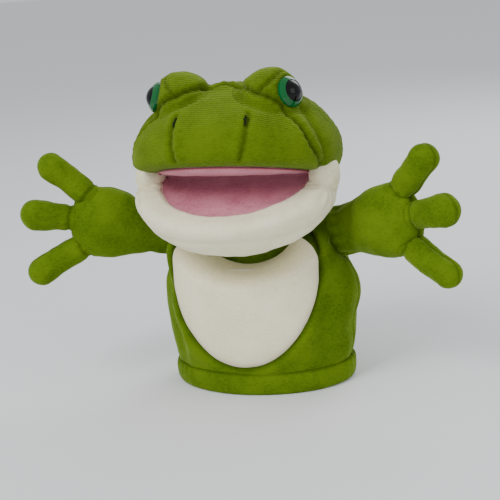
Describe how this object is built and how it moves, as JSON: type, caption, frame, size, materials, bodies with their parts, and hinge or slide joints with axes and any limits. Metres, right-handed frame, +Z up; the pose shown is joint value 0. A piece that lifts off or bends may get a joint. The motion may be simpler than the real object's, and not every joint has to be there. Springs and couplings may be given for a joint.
{
  "type": "hand puppet",
  "caption": "Plush frog hand puppet with a moving mouth, nodding head, stuffed arms and bending fingers, worn on the forearm.",
  "frame": {"origin": "centre of the hand opening, in the plane of the hem's lower edge", "axes": "+Z up through the body, -Y the way the face looks, +X the puppet's own left"},
  "size_m": [0.364, 0.1569, 0.2613],
  "materials": {
    "green_plush": "short pile plush",
    "cream_plush": "short pile plush",
    "pink_lining": "smooth brushed knit",
    "lining_cloth": "plain woven",
    "filling": "polyester fibre",
    "foam_board": "closed-cell foam sheet",
    "eye_green": "clear tinted, polished",
    "eye_black": "polished",
    "washer_white": "moulded",
    "dark_thread": "sewing thread"
  },
  "bodies": {
    "torso": {"body_front": "green_plush", "body_back": "green_plush", "belly_patch": "cream_plush", "hem_band": "green_plush", "body_lining": "lining_cloth"},
    "neck": {"neck_tube": "green_plush", "mouth_fold": "pink_lining"},
    "head": {"snout_panel": "green_plush", "cheek_left": "green_plush", "cheek_right": "green_plush", "head_back": "green_plush", "head_filling": "filling", "palate_lining": "pink_lining", "palate_board": "foam_board", "finger_pocket": "lining_cloth", "eye_mound_left": "green_plush", "mound_filling_left": "filling", "eye_lens_left": "eye_green", "eye_pupil_left": "eye_black", "eye_washer_left": "washer_white", "nostril_stitch_left": "dark_thread", "eye_mound_right": "green_plush", "mound_filling_right": "filling", "eye_lens_right": "eye_green", "eye_pupil_right": "eye_black", "eye_washer_right": "washer_white", "nostril_stitch_right": "dark_thread"},
    "jaw": {"chin_panel": "cream_plush", "jaw_filling": "filling", "jaw_floor": "pink_lining", "jaw_board": "foam_board", "thumb_pocket": "lining_cloth"},
    "arm_left": {"arm_left": "green_plush", "arm_filling_left": "filling"},
    "upper_finger_left": {"upper_finger_left": "green_plush", "upper_finger_filling_left": "filling"},
    "middle_finger_left": {"middle_finger_left": "green_plush", "middle_finger_filling_left": "filling"},
    "lower_finger_left": {"lower_finger_left": "green_plush", "lower_finger_filling_left": "filling"},
    "arm_right": {"arm_right": "green_plush", "arm_filling_right": "filling"},
    "upper_finger_right": {"upper_finger_right": "green_plush", "upper_finger_filling_right": "filling"},
    "middle_finger_right": {"middle_finger_right": "green_plush", "middle_finger_filling_right": "filling"},
    "lower_finger_right": {"lower_finger_right": "green_plush", "lower_finger_filling_right": "filling"}
  },
  "joints": [
    {"name": "head_nod", "type": "hinge", "parent": "torso", "child": "neck", "pos_m": [0, 0.005, 0.135], "axis": [1, 0, 0], "range_deg": [-8, 10], "deforming": ["neck_tube"]},
    {"name": "mouth_upper", "type": "hinge", "parent": "neck", "child": "head", "pos_m": [0, -0.028, 0.178], "axis": [-1, 0, 0], "range_deg": [-16, 10], "deforming": ["neck_tube"]},
    {"name": "mouth_lower", "type": "hinge", "parent": "neck", "child": "jaw", "pos_m": [0, -0.028, 0.178], "axis": [1, 0, 0], "range_deg": [-18, 8], "deforming": ["neck_tube"]},
    {"name": "shoulder_left", "type": "hinge", "parent": "torso", "child": "arm_left", "pos_m": [0.06963, 0.006, 0.122], "axis": [-0.5299, -0.848, 0], "range_deg": [-18, 25], "stiffness_Nm_per_rad": 0.12},
    {"name": "upper_finger_flex_left", "type": "hinge", "parent": "arm_left", "child": "upper_finger_left", "pos_m": [0.12936, -0.03132, 0.16054], "axis": [0.5997, -0.3747, -0.7071], "range_deg": [-30, 30], "stiffness_Nm_per_rad": 0.02},
    {"name": "middle_finger_flex_left", "type": "hinge", "parent": "arm_left", "child": "middle_finger_left", "pos_m": [0.14172, -0.03904, 0.14478], "axis": [0.1908, -0.1192, -0.9744], "range_deg": [-30, 30], "stiffness_Nm_per_rad": 0.02},
    {"name": "lower_finger_flex_left", "type": "hinge", "parent": "arm_left", "child": "lower_finger_left", "pos_m": [0.13524, -0.035, 0.12306], "axis": [-0.3584, 0.224, -0.9063], "range_deg": [-30, 30], "stiffness_Nm_per_rad": 0.02},
    {"name": "shoulder_right", "type": "hinge", "parent": "torso", "child": "arm_right", "pos_m": [-0.06963, 0.006, 0.122], "axis": [-0.5299, 0.848, 0], "range_deg": [-18, 25], "stiffness_Nm_per_rad": 0.12},
    {"name": "upper_finger_flex_right", "type": "hinge", "parent": "arm_right", "child": "upper_finger_right", "pos_m": [-0.12936, -0.03132, 0.16054], "axis": [0.5997, 0.3747, 0.7071], "range_deg": [-30, 30], "stiffness_Nm_per_rad": 0.02},
    {"name": "middle_finger_flex_right", "type": "hinge", "parent": "arm_right", "child": "middle_finger_right", "pos_m": [-0.14172, -0.03904, 0.14478], "axis": [0.1908, 0.1192, 0.9744], "range_deg": [-30, 30], "stiffness_Nm_per_rad": 0.02},
    {"name": "lower_finger_flex_right", "type": "hinge", "parent": "arm_right", "child": "lower_finger_right", "pos_m": [-0.13524, -0.035, 0.12306], "axis": [-0.3584, -0.224, 0.9063], "range_deg": [-30, 30], "stiffness_Nm_per_rad": 0.02}
  ]
}
